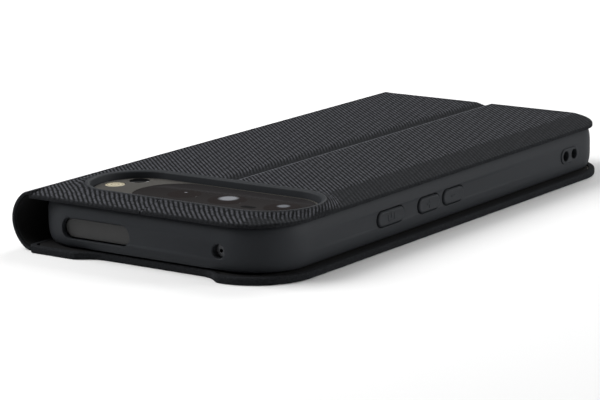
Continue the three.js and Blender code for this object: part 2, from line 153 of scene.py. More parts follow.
@dataclass(frozen=True)
class Finish:
    """One made surface: its colours, its gloss and its fine relief."""

    name: str
    colour: str
    accent: str
    roughness: float = 0.5
    metallic: float = 0.0
    ior: float = 1.45
    specular: float = 0.5
    grain_mm: float = 0.5
    relief_mm: float = 0.01
    pattern: Pattern = Pattern.GRAIN
    centre: tuple[float, float] = (0.0, 0.0)

    def build(self) -> bpy.types.Material:
        """Makes the material."""
        material, tree, shader = new_material(self.name)
        shader.inputs["Metallic"].default_value = self.metallic
        shader.inputs["Specular IOR Level"].default_value = self.specular
        if self.metallic < 0.5:
            shader.inputs["IOR"].default_value = self.ior
        place = add_node(tree, "ShaderNodeTexCoord").outputs["Object"]
        centre = ((self.centre[0] + ASSEMBLY_X) * MM, self.centre[1] * MM, 0.0)
        around = add_node(
            tree,
            "ShaderNodeVectorMath",
            {"operation": "SUBTRACT"},
            {0: place, 1: centre},
        ).outputs[0]
        height = self._height(tree, around)
        ramp = add_node(tree, "ShaderNodeMix", {"data_type": "RGBA"}, {0: height})
        ramp.inputs[6].default_value = linear(self.colour)
        ramp.inputs[7].default_value = linear(self.accent)
        tree.links.new(ramp.outputs[2], shader.inputs["Base Color"])
        spread = add_node(
            tree,
            "ShaderNodeMapRange",
            None,
            {0: height, 3: self.roughness * 0.9, 4: min(1.0, self.roughness * 1.12)},
        )
        tree.links.new(spread.outputs[0], shader.inputs["Roughness"])
        bump = add_node(
            tree,
            "ShaderNodeBump",
            None,
            {"Strength": 0.6, "Distance": self.relief_mm * MM, "Height": height},
        )
        tree.links.new(bump.outputs[0], shader.inputs["Normal"])
        return material

    def _height(
        self, tree: bpy.types.NodeTree, place: bpy.types.NodeSocket
    ) -> bpy.types.NodeSocket:
        """Builds the relief as a value from 0 to 1.

        Args:
            tree: The material's node tree.
            place: Position about the pattern's centre, in metres.

        Returns:
            The socket that carries the relief.
        """
        per_metre = 1 / (self.grain_mm * MM)
        # Painted highlight: the accent colour fills a disc of the given radius, a painted reflection.
        if self.pattern is Pattern.LENS:
            flat = add_node(tree, "ShaderNodeSeparateXYZ", None, {0: place})
            radius = calculate(
                tree,
                "SQRT",
                calculate(
                    tree,
                    "ADD",
                    calculate(tree, "POWER", flat.outputs[0], 2.0),
                    calculate(tree, "POWER", flat.outputs[1], 2.0),
                ),
            )
            return add_node(
                tree,
                "ShaderNodeMapRange",
                {"interpolation_type": "SMOOTHSTEP"},
                {0: radius, 1: self.grain_mm * MM, 2: self.grain_mm * MM * 0.55, 3: 0.0, 4: 1.0},
            ).outputs[0]
        if self.pattern is Pattern.RINGS:
            return add_node(
                tree,
                "ShaderNodeTexWave",
                {"wave_type": "RINGS", "rings_direction": "Z"},
                {"Vector": place, "Scale": per_metre / 6.3, "Distortion": 0.0},
            ).outputs["Fac"]
        if self.pattern is Pattern.TRACES:
            return add_node(
                tree,
                "ShaderNodeTexBrick",
                None,
                {
                    "Vector": place,
                    "Scale": per_metre,
                    "Mortar Size": 0.08,
                    "Color1": (0.2, 0.2, 0.2, 1),
                    "Color2": (0.45, 0.45, 0.45, 1),
                    "Mortar": (1, 1, 1, 1),
                },
            ).outputs["Color"]
        vector = place
        if self.pattern is Pattern.BRUSHED:
            vector = add_node(
                tree,
                "ShaderNodeVectorMath",
                {"operation": "MULTIPLY"},
                {0: place, 1: (0.06, 1.0, 1.0)},
            ).outputs[0]
        return add_node(
            tree,
            "ShaderNodeTexNoise",
            None,
            {"Vector": vector, "Scale": per_metre, "Detail": 3.0},
        ).outputs["Fac"]


@dataclass(frozen=True)
class TwillCloth:
    """Polyester twill bonded to the boards: slanting ribs of packed yarn.

    The ribs catch the light on their crowns and leave thin dark furrows between them; both are
    painted into the colour, as painted light on the crowns and painted shade in the furrows. The
    ribs are 1 mm apart, their stitches 4.6 mm long, and their relief is drawn at 0.16 mm.
    """

    name: str = "polyester_twill"
    # furrow_shade is painted shade in the furrows; lit_rib is painted light on the crowns of the ribs.
    furrow_shade: str = "#101112"
    lit_rib: str = "#414246"
    # Colour of flattened cloth at the edges, also painted shade on the back's flank and in the fold's
    # groove.
    plain: str = "#1f2022"
    # Painted highlight along the fixed half's rounded edge at the fold.
    painted_highlight: str = "#5c5e62"
    lean_deg: float = 41.5
    pitch_mm: float = 1.0
    stitch_mm: float = 4.6
    relief_mm: float = 0.16

    def build(self) -> bpy.types.Material:
        """Makes the material on the piece's own cloth UV map, which is in millimetres."""
        material, tree, shader = new_material(self.name)
        shader.inputs["Roughness"].default_value = 0.85
        shader.inputs["IOR"].default_value = 1.5
        shader.inputs["Specular IOR Level"].default_value = 0.03
        cloth = add_node(tree, "ShaderNodeUVMap", {"uv_map": CLOTH_UV}).outputs[0]
        noise = add_node(
            tree,
            "ShaderNodeTexNoise",
            {"noise_dimensions": "2D"},
            {"Vector": cloth, "Scale": 0.9, "Detail": 2.0},
        ).outputs["Fac"]
        axes = add_node(tree, "ShaderNodeSeparateXYZ", None, {0: cloth})
        u, v = axes.outputs[0], axes.outputs[1]
        lean = math.radians(self.lean_deg)
        across = self._blend(tree, (u, v), (math.sin(lean), math.cos(lean)), self.pitch_mm)
        across = calculate(tree, "MULTIPLY_ADD", noise, 0.25, across)
        along = self._blend(tree, (u, v), (math.cos(lean), -math.sin(lean)), self.stitch_mm)
        row = calculate(tree, "FLOOR", across)
        along = calculate(tree, "MULTIPLY_ADD", row, 0.381, along)
        crown = self._arch(tree, across, 1.4)
        strand = self._arch(tree, along, 0.16)
        thread = self._arch(tree, calculate(tree, "MULTIPLY", along, 8.0), 0.5)
        height = calculate(tree, "MULTIPLY", crown, strand)
        height = calculate(
            tree, "MULTIPLY", height, calculate(tree, "MULTIPLY_ADD", thread, 0.12, 0.88)
        )
        height = add_node(
            tree,
            "ShaderNodeMapRange",
            {"interpolation_type": "SMOOTHSTEP"},
            {0: height, 1: 0.15, 2: 1.0, 3: 0.0, 4: 1.0},
        ).outputs[0]
        # Above 0 the ribs give way to flattened colour, which is also painted shade; below 0 a painted
        # highlight.
        plain_shade_highlight_value = add_node(tree, "ShaderNodeAttribute", {"attribute_name": PLAIN_SHADE_HIGHLIGHT}).outputs["Fac"]
        plain_and_shade_weight = calculate(tree, "MAXIMUM", plain_shade_highlight_value, 0.0)
        painted_highlight_weight = calculate(tree, "MAXIMUM", calculate(tree, "MULTIPLY", plain_shade_highlight_value, -1.0), 0.0)
        kept = calculate(tree, "SUBTRACT", 1.0, plain_and_shade_weight)
        height = calculate(tree, "MULTIPLY", height, kept)
        grain = add_node(
            tree,
            "ShaderNodeTexNoise",
            None,
            {
                "Vector": add_node(tree, "ShaderNodeTexCoord").outputs["Object"],
                "Scale": 2200.0,
                "Detail": 2.0,
            },
        ).outputs["Fac"]
        # Painted light on the crowns of the ribs and painted shade in the furrows.
        ribs = add_node(tree, "ShaderNodeMix", {"data_type": "RGBA"}, {0: height})
        ribs.inputs[6].default_value = linear(self.furrow_shade)
        ribs.inputs[7].default_value = linear(self.lit_rib)
        # Mixes in the flattened colour: real at the edges, painted shade on the flank and in the fold.
        edge = add_node(
            tree,
            "ShaderNodeMix",
            {"data_type": "RGBA"},
            {0: plain_and_shade_weight, 6: ribs.outputs[2]},
        )
        edge.inputs[7].default_value = linear(self.plain)
        # Mixes in the painted highlight along the fold's rounded edge.
        painted_edge_highlight = add_node(
            tree,
            "ShaderNodeMix",
            {"data_type": "RGBA"},
            {0: painted_highlight_weight, 6: edge.outputs[2]},
        )
        painted_edge_highlight.inputs[7].default_value = linear(self.painted_highlight)
        worn = add_node(
            tree,
            "ShaderNodeHueSaturation",
            None,
            {
                "Value": add_node(
                    tree, "ShaderNodeMapRange", None, {0: grain, 1: 0.3, 2: 0.7, 3: 0.6, 4: 1.4}
                ).outputs[0],
                "Color": painted_edge_highlight.outputs[2],
            },
        )
        tree.links.new(worn.outputs[0], shader.inputs["Base Color"])
        relief = calculate(
            tree, "ADD", height, calculate(tree, "MULTIPLY", grain, 0.25)
        )
        bump = add_node(
            tree,
            "ShaderNodeBump",
            None,
            {"Strength": 0.9, "Distance": self.relief_mm * MM, "Height": relief},
        )
        tree.links.new(bump.outputs[0], shader.inputs["Normal"])
        return material

    @staticmethod
    def _blend(
        tree: bpy.types.NodeTree,
        place: tuple[bpy.types.NodeSocket, bpy.types.NodeSocket],
        heading: tuple[float, float],
        step: float,
    ) -> bpy.types.NodeSocket:
        """Measures how far a place is along a heading, in steps.

        Args:
            tree: The material's node tree.
            place: The place's two coordinates.
            heading: The heading's unit vector.
            step: The length of one step.

        Returns:
            The socket that carries the count of steps.
        """
        first = calculate(tree, "MULTIPLY", place[0], heading[0] / step)
        return calculate(tree, "MULTIPLY_ADD", place[1], heading[1] / step, first)

    @staticmethod
    def _arch(
        tree: bpy.types.NodeTree, phase: bpy.types.NodeSocket, power: float
    ) -> bpy.types.NodeSocket:
        """Repeats a round arch once per unit of phase.

        Args:
            tree: The material's node tree.
            phase: The running coordinate.
            power: Below 1 widens the arch's top.

        Returns:
            The socket that carries the arch, from 0 to 1.
        """
        turn = calculate(tree, "MULTIPLY", calculate(tree, "FRACT", phase), math.pi)
        return calculate(tree, "POWER", calculate(tree, "SINE", turn), power)


# Thermoplastic polyurethane, injection moulded in a spark-eroded mould: soft, matt, faintly
# grained, with a broad weak highlight.
TPU = Finish(
    "tpu_soft_tray", "#232528", "#282a2d", 0.6, specular=0.13, grain_mm=0.18, relief_mm=0.006
)
# Microfibre suede on the inside faces: very dark, with a short nap.
SUEDE = Finish("microfibre_suede", "#111111", "#1a1a1b", 0.95, specular=0.1, relief_mm=0.03)
# Grey board between the skins, seen only at its edges.
BOARD = Finish("grey_board", "#5c564e", "#746c61", 0.9, grain_mm=1.2, relief_mm=0.02)
# Bead-blasted anodised aluminium of the camera bar, a warm silver grey.
VISOR_METAL = Finish(
    "blasted_aluminium", "#413f3b", "#4b4945", 0.5, metallic=0.7, grain_mm=0.14, relief_mm=0.004
)
# Polished anodised aluminium of the phone's rim.
RIM_METAL = Finish("anodised_rim", "#38393b", "#424345", 0.32, metallic=0.9, grain_mm=0.3)
# Back-painted cover glass: near black with a brown cast and a hard clear gloss.
DARK_GLASS = Finish("dark_glass", "#211e1e", "#262323", 0.1, ior=1.5, relief_mm=0.0005)
BLACK_GLASS = Finish("display_glass", "#050506", "#0a0a0c", 0.06, ior=1.52, relief_mm=0.0005)
# Moulded acrylic over the light-emitting diodes, cream from the phosphor behind it.
FLASH = Finish(
    "flash_acrylic", "#958d77", "#b5ad96", 0.3, ior=1.49, grain_mm=0.5, pattern=Pattern.RINGS,
    relief_mm=0.05, centre=(FLASH_X, -57.0),
)
SENSOR = Finish("sensor_window", "#050505", "#0b0b0c", 0.1, ior=1.52, relief_mm=0.001)
# Glass-filled nylon of the antenna window, slightly lighter than the tray.
NYLON = Finish("antenna_nylon", "#222222", "#292929", 0.5, grain_mm=0.25, relief_mm=0.006)
STEEL = Finish(
    "brushed_stainless", "#8c8e92", "#a6a8ab", 0.33, metallic=1.0, grain_mm=0.3,
    pattern=Pattern.BRUSHED,
)
ALLOY = Finish("milled_alloy", "#8f9194", "#a5a7aa", 0.4, metallic=0.9, pattern=Pattern.BRUSHED)
CELL = Finish("battery_wrap", "#17181a", "#222326", 0.55, grain_mm=2.0, relief_mm=0.02)
CIRCUIT = Finish(
    "solder_mask", "#0c2a1c", "#2f5a3c", 0.45, grain_mm=1.6, relief_mm=0.03,
    pattern=Pattern.TRACES,
)
COPPER = Finish(
    "copper_winding", "#7c4526", "#c07a4a", 0.35, metallic=1.0, grain_mm=0.9, relief_mm=0.1,
    pattern=Pattern.RINGS, centre=(0.0, 6.0),
)
MAGNET = Finish("nickel_plate", "#85878b", "#9a9ca0", 0.25, metallic=1.0, grain_mm=0.4)
RESIN = Finish("moulded_resin", "#17181a", "#202124", 0.5, grain_mm=0.4, relief_mm=0.01)

_BUILT: dict[str, bpy.types.Material] = {}


def dress(piece: bpy.types.Object, finish: Finish | TwillCloth) -> None:
    """Gives a piece its finish in every slot it has.

    Args:
        piece: The object to dress.
        finish: What it is made of.
    """
    if finish.name not in _BUILT:
        _BUILT[finish.name] = finish.build()
    material = _BUILT[finish.name]
    if not piece.data.materials:
        piece.data.materials.append(material)
    for index in range(len(piece.data.materials)):
        piece.data.materials[index] = material


# ---------------------------------------------------------------------- modelling helpers


def rectangle(
    bm: BMesh, left: float, right: float, near: float, far: float, height: float
) -> BMFace:
    """Adds one flat rectangle, facing up."""
    return outline(bm, [(left, near), (right, near), (right, far), (left, far)], height)


def outline(bm: BMesh, corners: Iterable[tuple[float, float]], height: float) -> BMFace:
    """Adds one flat face through a few corners, facing up."""
    return bm.faces.new([bm.verts.new((x, y, height)) for x, y in corners])


def round_corners(
    bm: BMesh, picks: Callable[[Vector], bool], radius: float, segments: int
) -> None:
    """Rounds the picked corners of the flat outlines in a mesh.

    Args:
        bm: The mesh.
        picks: Says whether a corner at a place is rounded.
        radius: The corner's radius.
        segments: Steps in each corner.
    """
    bmesh.ops.bevel(
        bm,
        geom=[v for v in bm.verts if picks(v.co)],
        offset=radius,
        affect="VERTICES",
        segments=segments,
        profile=0.5,
        material=-1,
    )


def pill(
    bm: BMesh,
    centre: tuple[float, float],
    width: float,
    height: float,
    level: float,
    quarter: int = 10,
) -> BMFace:
    """Adds a flat plate with round ends, facing up.

    Args:
        bm: The mesh.
        centre: Its middle.
        width: Its whole length.
        height: Its height across the round ends, less than the width.
        level: Its z.
        quarter: Steps in a quarter turn.

    Returns:
        The face.
    """
    steps = 4 * quarter + 2
    half_step = math.pi / steps
    made = bmesh.ops.create_circle(
        bm,
        cap_ends=True,
        segments=steps,
        radius=height / 2 / math.cos(half_step),
        matrix=Matrix.Rotation(half_step + math.pi / 2, 4, "Z"),
    )
    reach = (width - height) / 2
    for vert in made["verts"]:
        side = math.copysign(reach, vert.co.x)
        vert.co += Vector((centre[0] + side, centre[1], level))
    return made["verts"][0].link_faces[0]


def raised(bm: BMesh, face: BMFace, rise: float) -> BMFace:
    """Extrudes a flat plate straight up into a closed block.

    Args:
        bm: The mesh.
        face: The plate.
        rise: How far it goes up.

    Returns:
        The block's top face.
    """
    made = bmesh.ops.extrude_face_region(bm, geom=[face, *face.edges])["geom"]
    verts = [g for g in made if isinstance(g, BMVert)]
    bmesh.ops.translate(bm, verts=verts, vec=(0, 0, rise))
    bmesh.ops.recalc_face_normals(bm, faces=bm.faces)
    return next(g for g in made if isinstance(g, BMFace))


def rounded_end(bm: BMesh, face: BMFace, size: float, height: float, steps: int = 4) -> None:
    """Closes a block's flat end with a rounded edge.

    Args:
        bm: The mesh.
        face: The flat end, which moves outwards by the height.
        size: How far the edge comes in, or below 0 how far it flares out.
        height: How far the edge goes out.
        steps: Steps round the edge.
    """
    for k in range(steps):
        start, end = (math.pi / 2 * i / steps for i in (k, k + 1))
        bmesh.ops.inset_region(
            bm,
            faces=[face],
            thickness=size * (math.cos(start) - math.cos(end)),
            depth=height * (math.sin(end) - math.sin(start)),
            use_even_offset=True,
        )


def block(
    bm: BMesh,
    face: BMFace,
    top: float,
    upper: tuple[float, float] = (0, 0),
    lower: tuple[float, float] = (0, 0),
    steps: int = 4,
) -> None:
    """Turns a flat plate into a block with rounded edges.

    Args:
        bm: The mesh.
        face: The plate, at the block's underside.
        top: The z of the block's top.
        upper: How far the top edge comes in and how high its rounding is.
        lower: The same for the bottom edge.
        steps: Steps round each edge.
    """
    base = face.calc_center_median().z
    bmesh.ops.translate(bm, verts=face.verts, vec=(0, 0, lower[1]))
    lid = raised(bm, face, top - base - upper[1] - lower[1])
    if upper[0]:
        rounded_end(bm, lid, *upper, steps)
    if lower[0]:
        rounded_end(bm, face, *lower, steps)


def shaped(build: Callable[[BMesh], None]) -> bpy.types.Object:
    """Runs a building step on a new mesh and returns it as a loose object.

    Args:
        build: Fills the mesh, in millimetres.

    Returns:
        The object, not yet in its final place or named.
    """
    bm = bmesh.new()
    build(bm)
    bmesh.ops.recalc_face_normals(bm, faces=bm.faces)
    mesh = bpy.data.meshes.new("shape")
    bm.to_mesh(mesh)
    bm.free()
    made = bpy.data.objects.new("shape", mesh)
    bpy.context.collection.objects.link(made)
    return made


def combine(body: bpy.types.Object, tool: bpy.types.Object, operation: str) -> None:
    """Joins or cuts one closed shape with another and uses the other up.

    Args:
        body: The shape that stays.
        tool: The shape that acts on it.
        operation: DIFFERENCE, UNION or INTERSECT.
    """
    step = body.modifiers.new("combine", "BOOLEAN")
    step.operation = operation
    step.solver = "EXACT"
    step.object = tool
    graph = bpy.context.evaluated_depsgraph_get()
    result = bpy.data.meshes.new_from_object(body.evaluated_get(graph))
    body.modifiers.clear()
    body.data = result
    bpy.data.objects.remove(tool)


def turned_along(side: str) -> Matrix:
    """Gives the turn that lays an upright plate's outline on a side wall.

    Args:
        side: "X" for a wall that faces +X, "-Y" or "Y" for the two end walls.

    Returns:
        A matrix that takes the plate's x and y to the wall and its z outwards.
    """
    columns = {
        "X": ((0, 1, 0), (0, 0, 1), (1, 0, 0)),
        "-Y": ((1, 0, 0), (0, 0, 1), (0, -1, 0)),
        "Y": ((-1, 0, 0), (0, 0, 1), (0, 1, 0)),
    }[side]
    return Matrix(columns).transposed().to_4x4()


def settle(
    piece: bpy.types.Object,
    name: str,
    finish: Finish | TwillCloth,
    body: str | None,
    replaces: Sequence[str] = (),
) -> bpy.types.Object:
    """Brings a finished shape to the frame, dresses it and says what it stands for.

    Args:
        piece: The shape, in millimetres.
        name: The piece's name.
        finish: What it is made of.
        body: The body it moves with, or None when it will bend between two.
        replaces: The CAD nodes that it stands for.

    Returns:
        The piece.
    """
    piece.name = name
    piece.data.name = name
    place = Matrix.Scale(MM, 4) @ Matrix.Translation((ASSEMBLY_X, 0, 0))
    piece.data.transform(place)
    piece.data.polygons.foreach_set("use_smooth", [True] * len(piece.data.polygons))
    piece.data.set_sharp_from_angle(angle=SHARP_ANGLE)
    dress(piece, finish)
    if body:
        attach(piece, body)
    if replaces:
        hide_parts(*replaces)
    LOG.info("%s: %d faces", name, len(piece.data.polygons))
    return piece


def smoothstep(low: float, high: float, value: float) -> float:
    """Rises smoothly from 0 at low to 1 at high."""
    t = min(1.0, max(0.0, (value - low) / (high - low)))
    return t * t * (3 - 2 * t)


def lay_cloth(bm: BMesh, rule: Callable[[Vector], tuple[float, float]]) -> None:
    """Writes the cloth map, in millimetres of cloth.

    Args:
        bm: The mesh.
        rule: Gives the place on the cloth of a point.
    """
    layer = bm.loops.layers.uv.new(CLOTH_UV)
    for face in bm.faces:
        for loop in face.loops:
            loop[layer].uv = rule(loop.vert.co)


def mark_plain_shade_highlight(bm: BMesh, rule: Callable[[Vector], float]) -> None:
    """Writes how far the ribs are flattened away at each point, which also paints shade; below 0 it paints a
    highlight.
    """
    layer = bm.verts.layers.float.get(PLAIN_SHADE_HIGHLIGHT) or bm.verts.layers.float.new(PLAIN_SHADE_HIGHLIGHT)
    for vert in bm.verts:
        vert[layer] = rule(vert.co)


# ----------------------------------------------------------------------------- the pieces


@dataclass
class CameraOpening:
    """The pill-shaped opening in the back, shared by the cloth, the lip and the camera bar."""

    x: float = 2.0
    y: float = -57.0
    width: float = 67.0
    height: float = 26.4
    rim_top: float = 15.6
    lip: float = 1.3

    def distance(self, point: Vector) -> float:
        """Gives how far a point is outside the lip's outer wall."""
        reach = (self.width - self.height) / 2
        dx = max(abs(point.x - self.x) - reach, 0.0)
        return math.hypot(dx, point.y - self.y) - self.height / 2

    def plate(self, bm: BMesh, margin: float, level: float, quarter: int = 14) -> BMFace:
        """Adds the opening's outline, grown by a margin."""
        size = (self.width + 2 * margin, self.height + 2 * margin)
        return pill(bm, (self.x, self.y), *size, level, quarter)


@dataclass
class BackPanels:
    """The two cloth-covered halves of the back and the webs at their folds."""

    opening: CameraOpening
    left: float = -35.55
    right: float = 37.9
    near: float = -78.2
    far: float = 79.2
    corner: float = 14.5
    far_corner: float = 13.0
    bottom: float = 13.2
    top: float = 14.8
    leaf_right: float = -1.15
    fixed_left: float = -0.45
    island: float = 15.5
    slack: float = 0.06

    def edge_distance(self, point: Vector) -> float:
        """Gives how far a point is inside the outline, not counting the spine's side."""
        radius = self.corner if point.y < 0 else self.far_corner
        dx = point.x - (self.right - radius)
        dy = max(self.near + radius - point.y, point.y - self.far + radius)
        if dx > 0 and dy > 0:
            return radius - math.hypot(dx, dy)
        return radius - max(dx, dy)

    def height(self, point: Vector) -> float:
        """Gives the height of the cloth over a point of the back.

        Args:
            point: A place on the back.

        Returns:
            The z of the cloth's outer face.
        """
        flange = smoothstep(26.9, 28.6, point.x) * 0.1 + max(0.0, point.x - 28.2) * 0.07
        slope = max(0.0, -73.0 - point.y) * 0.13 + smoothstep(72.4, 73.8, -point.y) * 0.06
        level = self.top - flange - slope
        margin = self.opening.distance(point)
        lift = 1 - smoothstep(0.1, 3.2, margin)
        level += (self.island - level) * lift
        inside = self.edge_distance(point)
        if inside < 0.45:
            level -= 0.35 * (1 - math.sqrt(max(0.0, 1 - (1 - max(0.0, inside) / 0.45) ** 2)))
        return level - self._fold(point)

    def _fold(self, point: Vector) -> float:
        """Gives the depth of the groove along the fold in the middle of the back."""
        strength = 1.0 if point.y > self.opening.y else 0.12
        if point.x <= self.leaf_right:
            slope = smoothstep(-5.6, self.leaf_right, point.x)
            return 0.82 * strength * slope
        near = max(0.0, 1 - (point.x - self.fixed_left) / 0.55)
        return 0.6 * strength * (1 - math.sqrt(max(0.0, 1 - near * near))) if near > 0 else 0.0

    def _sheet(self, bm: BMesh) -> None:
        """Makes the whole back as one flat net with the opening in it."""
        rectangle(bm, self.left, self.right, self.near, self.far, 0)
        round_corners(bm, lambda p: p.x > 37 and p.y < 0, self.corner, 18)
        round_corners(bm, lambda p: p.x > 37 and p.y > 70, self.far_corner, 18)
        bm.faces.ensure_lookup_table()
        face = bm.faces[0]
        for step in (0.05, 0.1, 0.14, 0.17):
            bmesh.ops.inset_region(
                bm, faces=[face], thickness=step, use_even_offset=True, use_boundary=True
            )
        rim = list(face.edges)
        bmesh.ops.delete(bm, geom=[face], context="FACES_ONLY")
        hole = self.opening.plate(bm, 1.3, 0)
        ring = list(hole.edges)
        for step in (0.38, 0.34, 0.3, 0.22):
            bmesh.ops.inset_region(
                bm, faces=[hole], thickness=step, use_even_offset=True, use_boundary=True
            )
        bmesh.ops.delete(bm, geom=[hole], context="FACES_ONLY")
        bmesh.ops.triangle_fill(bm, use_beauty=True, edges=rim + ring)
        self._cut(bm, "x", [self.left + 1.5 * k for k in range(1, 49)])
        self._cut(bm, "x", [-5.2, -4.6, -4.0, -3.4, -2.8, -2.3, -1.9, -1.6, -1.35, self.leaf_right])
        self._cut(bm, "x", [self.fixed_left + s for s in (0, 0.05, 0.12, 0.22, 0.36, 0.55)])
        self._cut(bm, "x", [26.9, 27.3, 27.7, 28.1, 28.6])
        self._cut(bm, "y", [-77 + 1.5 * k for k in range(0, 30)])
        self._cut(bm, "y", [-32 + 8.0 * k for k in range(0, 13)])
        self._cut(bm, "y", [-76, -73.8, -73.4, -72.9, -72.4, 73.5])

    @staticmethod
    def _cut(bm: BMesh, axis: str, places: Iterable[float]) -> None:
        """Scores straight lines across the net.

        Args:
            bm: The mesh.
            axis: "x" or "y", the axis that the lines stand across.
            places: Where on that axis.
        """
        normal = (1, 0, 0) if axis == "x" else (0, 1, 0)
        for place in places:
            geom = [*bm.verts, *bm.edges, *bm.faces]
            point = tuple(place * n for n in normal)
            bmesh.ops.bisect_plane(bm, geom=geom, dist=1e-5, plane_co=point, plane_no=normal)

    def _half(self, leaf: bool) -> Callable[[BMesh], None]:
        """Gives the step that builds one half of the back.

        Args:
            leaf: True for the half that folds.

        Returns:
            A building step for shaped().
        """

        def build(bm: BMesh) -> None:
            self._sheet(bm)
            cut = self.leaf_right if leaf else self.fixed_left
            bmesh.ops.bisect_plane(
                bm,
                geom=[*bm.verts, *bm.edges, *bm.faces],
                dist=1e-5,
                plane_co=(cut, 0, 0),
                plane_no=(1, 0, 0),
                clear_outer=leaf,
                clear_inner=not leaf,
            )
            for vert in bm.verts:
                vert.co.z = self.height(vert.co)
            mark_plain_shade_highlight(bm, self._plain_shade_highlight)
            made = bmesh.ops.extrude_face_region(bm, geom=list(bm.faces))["geom"]
            plain = bm.verts.layers.float[PLAIN_SHADE_HIGHLIGHT]
            for vert in (g for g in made if isinstance(g, BMVert)):
                vert.co.z = self.bottom
                vert[plain] = 1.0
            lay_cloth(bm, lambda p: (p.x, p.y + (self.top - p.z) * 0.7))

        return build

    def _plain_shade_highlight(self, point: Vector) -> float:
        """Says how far the ribs fade at a point of the back, with painted shade and highlight."""
        edge = 0.75 * (1 - smoothstep(0.1, 0.7, self.edge_distance(point)))
        rim = 0.35 * (1 - smoothstep(0.3, 1.2, self.opening.distance(point)))
        # Painted shade on the flank, which tilts away from the lamps.
        flank = 0.5 * smoothstep(27.2, 28.8, point.x) * (self.opening.distance(point) > 3)
        # Painted shade on the leaf's slope into the fold's groove, beyond the opening.
        fold = 0.0
        if point.x <= self.leaf_right and point.y > self.opening.y:
            fold = 0.7 * smoothstep(-5.4, -2.6, point.x)
        # Below 0: a painted highlight along the fixed half's rounded edge at the fold.
        painted_edge_highlight = 0.8 * smoothstep(0.5, 0.1, point.x) * smoothstep(-0.44, -0.3, point.x)
        painted_edge_highlight *= point.x > self.leaf_right and point.y > self.opening.y
        return min(1.0, max(edge, flank, fold) + rim) - painted_edge_highlight

    def _web(self, bm: BMesh) -> None:
        """Makes the strip of cloth that joins the halves along the fold."""
        low, high = self.leaf_right - 0.12, self.fixed_left + 0.1
        face = rectangle(bm, low, high, self.near + 0.1, self.far - 0.1, self.bottom + 0.1)
        raised(bm, face, 0.6)
        self._cut(bm, "x", [low + (high - low) * k / 6 for k in range(1, 6)])
        self._cut(bm, "y", [-76.0 + 2 * k for k in range(77)])
        for vert in bm.verts:
            if vert.co.z > self.bottom + 0.4:
                leaf = Vector((self.leaf_right, vert.co.y, 0))
                near = vert.co.y < self.opening.y
                drop = 0.02 if near else 0.08
                drop += drop * math.sin(math.pi * (vert.co.x - low) / (high - low))
                vert.co.z = self.height(leaf) - drop
        # The web beyond the opening takes painted shade in the fold's groove; the near strip only a little.
        mark_plain_shade_highlight(bm, lambda p: 0.1 if p.y < self.opening.y else 0.7)
        lay_cloth(bm, lambda p: (p.x, p.y))

    def _outside_opening(self, piece: bpy.types.Object) -> bpy.types.Object:
        """Cuts the camera opening out of a strip that runs the whole length."""
        tool = shaped(lambda bm: block(bm, self.opening.plate(bm, self.slack, 10), CUT_THROUGH))
        combine(piece, tool, "DIFFERENCE")
        return piece

    def build(self) -> None:
        """Makes both halves and the web between them."""
        cloth = TwillCloth()
        leaf = shaped(self._half(True))
        settle(leaf, "leaf_cloth", cloth, "stand_leaf", ["stand_leaf_outer"])
        fixed = shaped(self._half(False))
        settle(fixed, "fixed_back_cloth", cloth, ROOT, ["back_panel_outer"])
        web = self._outside_opening(shaped(self._web))
        settle(web, "fold_web", cloth, None)
        start = ((self.fixed_left + ASSEMBLY_X) * MM, 0, 0)
        end = ((self.leaf_right + ASSEMBLY_X) * MM, 0, 0)
        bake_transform(web, ROOT, "stand_leaf", start=start, end=end)


